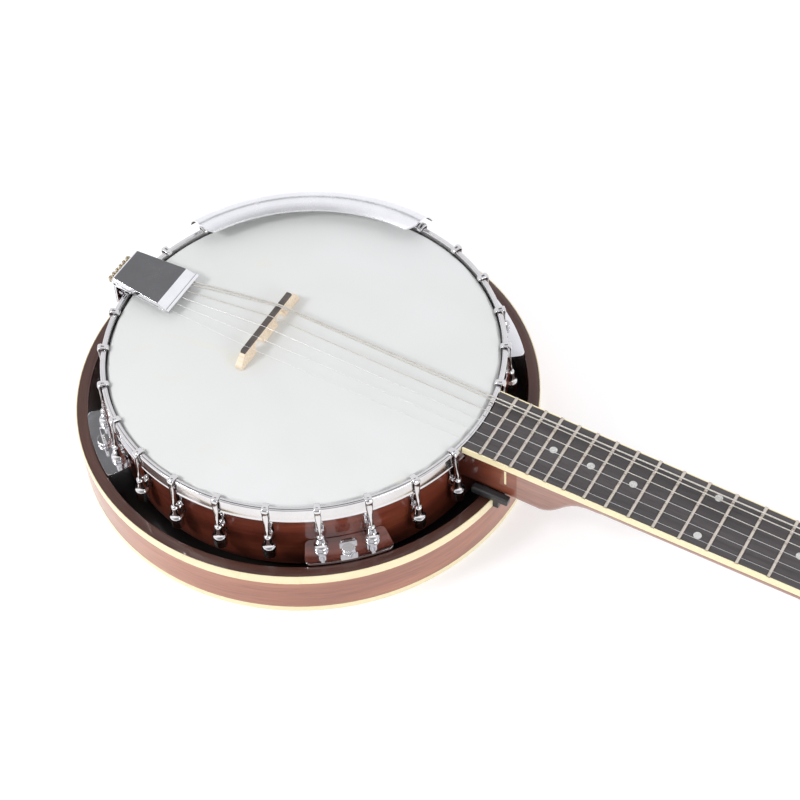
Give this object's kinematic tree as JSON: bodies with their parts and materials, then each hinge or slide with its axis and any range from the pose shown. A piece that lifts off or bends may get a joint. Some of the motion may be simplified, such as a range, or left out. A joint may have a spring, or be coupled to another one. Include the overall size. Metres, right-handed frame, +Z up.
{
  "type": "resonator banjo with a guitar-style neck",
  "caption": "Banjo with a closed wooden resonator, chrome hoop and bracket hooks, armrest, hinged tailpiece and a fretted neck with geared tuners.",
  "frame": {"origin": "centre of the resonator's flat back, on the surface the banjo lies on", "axes": "+Z up through the drum head, +X along the neck to the headstock, +Y to the bass side"},
  "size_m": [0.962, 0.3378, 0.0966],
  "materials": {
    "head_film": "frosted, slightly matt",
    "chrome": "polished",
    "steel": "plain zinc plated",
    "brass": "bare brass, slightly dull",
    "rim_wood": "dark red-brown stain under gloss lacquer",
    "resonator_wood": "brown mahogany stain under gloss lacquer",
    "neck_wood": "brown mahogany stain under gloss lacquer",
    "ivory_binding": "cream celluloid",
    "black_plastic": "satin black",
    "maple": "bare fine-grained maple",
    "ebony": "oiled",
    "rosewood": "dark, oiled open grain",
    "fret_wire": "polished nickel silver",
    "pearl": "pearloid",
    "bone": "polished bone",
    "wound_wire": "fine round winding",
    "steel_wire": "plain drawn wire"
  },
  "bodies": {
    "banjo": {"drum_head": "head_film", "flesh_hoop": "steel", "tension_hoop": "chrome", "tone_ring": "brass", "wood_rim": "rim_wood", "bracket_hooks": "chrome", "bracket_shoes": "chrome", "hook_nuts": "chrome", "shoe_bolts": "steel", "coordinator_rods": "steel", "coordinator_rod_nuts": "chrome", "neck_lag_screws": "steel", "resonator_wall": "resonator_wood", "resonator_back": "resonator_wood", "resonator_bindings": "ivory_binding", "resonator_lugs": "black_plastic", "resonator_plates": "chrome", "neck_saddle": "black_plastic", "armrest_plate": "chrome", "armrest_clamps": "chrome", "armrest_screws": "chrome", "tailpiece_base": "chrome", "tailpiece_hinge_pin": "chrome", "tailpiece_hanger": "chrome", "tailpiece_screws": "chrome", "tailpiece_tension_screw": "chrome", "string_ball_ends": "brass", "bridge_body": "maple", "bridge_cap": "ebony", "wound_strings": "wound_wire", "plain_strings": "steel_wire", "neck": "neck_wood", "fretboard": "rosewood", "fretboard_binding": "ivory_binding", "frets": "fret_wire", "inlay_dots": "pearl", "nut": "bone", "truss_rod": "steel", "truss_rod_cover": "black_plastic", "headstock_screws": "chrome", "headstock_veneer": "rosewood", "tuner_housings": "chrome", "tuner_bushings": "chrome"},
    "thumb_screw_1": {"resonator_thumb_screw_1": "chrome"},
    "thumb_screw_2": {"resonator_thumb_screw_2": "chrome"},
    "thumb_screw_3": {"resonator_thumb_screw_3": "chrome"},
    "thumb_screw_4": {"resonator_thumb_screw_4": "chrome"},
    "tail_cover": {"tailpiece_cover": "chrome"},
    "string_post_1": {"tuner_post_1": "chrome"},
    "tuner_button_1": {"tuner_knob_1": "chrome"},
    "string_post_2": {"tuner_post_2": "chrome"},
    "tuner_button_2": {"tuner_knob_2": "chrome"},
    "string_post_3": {"tuner_post_3": "chrome"},
    "tuner_button_3": {"tuner_knob_3": "chrome"},
    "string_post_4": {"tuner_post_4": "chrome"},
    "tuner_button_4": {"tuner_knob_4": "chrome"},
    "string_post_5": {"tuner_post_5": "chrome"},
    "tuner_button_5": {"tuner_knob_5": "chrome"},
    "string_post_6": {"tuner_post_6": "chrome"},
    "tuner_button_6": {"tuner_knob_6": "chrome"}
  },
  "joints": [
    {"name": "thumb_screw_1_turn", "type": "hinge", "parent": "banjo", "child": "thumb_screw_1", "pos_m": [0.1008, 0.11377, 0.0436], "axis": [0, 0, 1], "continuous": true},
    {"name": "thumb_screw_2_turn", "type": "hinge", "parent": "banjo", "child": "thumb_screw_2", "pos_m": [-0.1008, 0.11377, 0.0436], "axis": [0, 0, 1], "continuous": true},
    {"name": "thumb_screw_3_turn", "type": "hinge", "parent": "banjo", "child": "thumb_screw_3", "pos_m": [-0.1008, -0.11377, 0.0436], "axis": [0, 0, 1], "continuous": true},
    {"name": "thumb_screw_4_turn", "type": "hinge", "parent": "banjo", "child": "thumb_screw_4", "pos_m": [0.1008, -0.11377, 0.0436], "axis": [0, 0, 1], "continuous": true},
    {"name": "tailpiece_cover_lift", "type": "hinge", "parent": "banjo", "child": "tail_cover", "pos_m": [-0.149, 0, 0.0918], "axis": [0, -1, 0], "range_deg": [0, 75]},
    {"name": "tuner_1_button_turn", "type": "hinge", "parent": "banjo", "child": "tuner_button_1", "pos_m": [0.68076, 0.03, 0.03307], "axis": [0, 1, 0], "continuous": true},
    {"name": "tuner_1_post_turn", "type": "hinge", "parent": "banjo", "child": "string_post_1", "pos_m": [0.67775, 0.022, 0.05479], "axis": [0.2096, 0, 0.9778], "continuous": true},
    {"name": "tuner_2_button_turn", "type": "hinge", "parent": "banjo", "child": "tuner_button_2", "pos_m": [0.71988, 0.03, 0.02469], "axis": [0, 1, 0], "continuous": true},
    {"name": "tuner_2_post_turn", "type": "hinge", "parent": "banjo", "child": "string_post_2", "pos_m": [0.71686, 0.022, 0.0464], "axis": [0.2096, 0, 0.9778], "continuous": true},
    {"name": "tuner_3_button_turn", "type": "hinge", "parent": "banjo", "child": "tuner_button_3", "pos_m": [0.75899, 0.03, 0.0163], "axis": [0, 1, 0], "continuous": true},
    {"name": "tuner_3_post_turn", "type": "hinge", "parent": "banjo", "child": "string_post_3", "pos_m": [0.75597, 0.022, 0.03802], "axis": [0.2096, 0, 0.9778], "continuous": true},
    {"name": "tuner_4_button_turn", "type": "hinge", "parent": "banjo", "child": "tuner_button_4", "pos_m": [0.75899, -0.03, 0.0163], "axis": [0, -1, 0], "continuous": true},
    {"name": "tuner_4_post_turn", "type": "hinge", "parent": "banjo", "child": "string_post_4", "pos_m": [0.75597, -0.022, 0.03802], "axis": [0.2096, 0, 0.9778], "continuous": true},
    {"name": "tuner_5_button_turn", "type": "hinge", "parent": "banjo", "child": "tuner_button_5", "pos_m": [0.71988, -0.03, 0.02469], "axis": [0, -1, 0], "continuous": true},
    {"name": "tuner_5_post_turn", "type": "hinge", "parent": "banjo", "child": "string_post_5", "pos_m": [0.71686, -0.022, 0.0464], "axis": [0.2096, 0, 0.9778], "continuous": true},
    {"name": "tuner_6_button_turn", "type": "hinge", "parent": "banjo", "child": "tuner_button_6", "pos_m": [0.68076, -0.03, 0.03307], "axis": [0, -1, 0], "continuous": true},
    {"name": "tuner_6_post_turn", "type": "hinge", "parent": "banjo", "child": "string_post_6", "pos_m": [0.67775, -0.022, 0.05479], "axis": [0.2096, 0, 0.9778], "continuous": true}
  ],
  "couplings": [
    {"joint": "tuner_1_post_turn", "follows": "tuner_1_button_turn", "ratio": 0.071429},
    {"joint": "tuner_2_post_turn", "follows": "tuner_2_button_turn", "ratio": 0.071429},
    {"joint": "tuner_3_post_turn", "follows": "tuner_3_button_turn", "ratio": 0.071429},
    {"joint": "tuner_4_post_turn", "follows": "tuner_4_button_turn", "ratio": -0.071429},
    {"joint": "tuner_5_post_turn", "follows": "tuner_5_button_turn", "ratio": -0.071429},
    {"joint": "tuner_6_post_turn", "follows": "tuner_6_button_turn", "ratio": -0.071429}
  ]
}
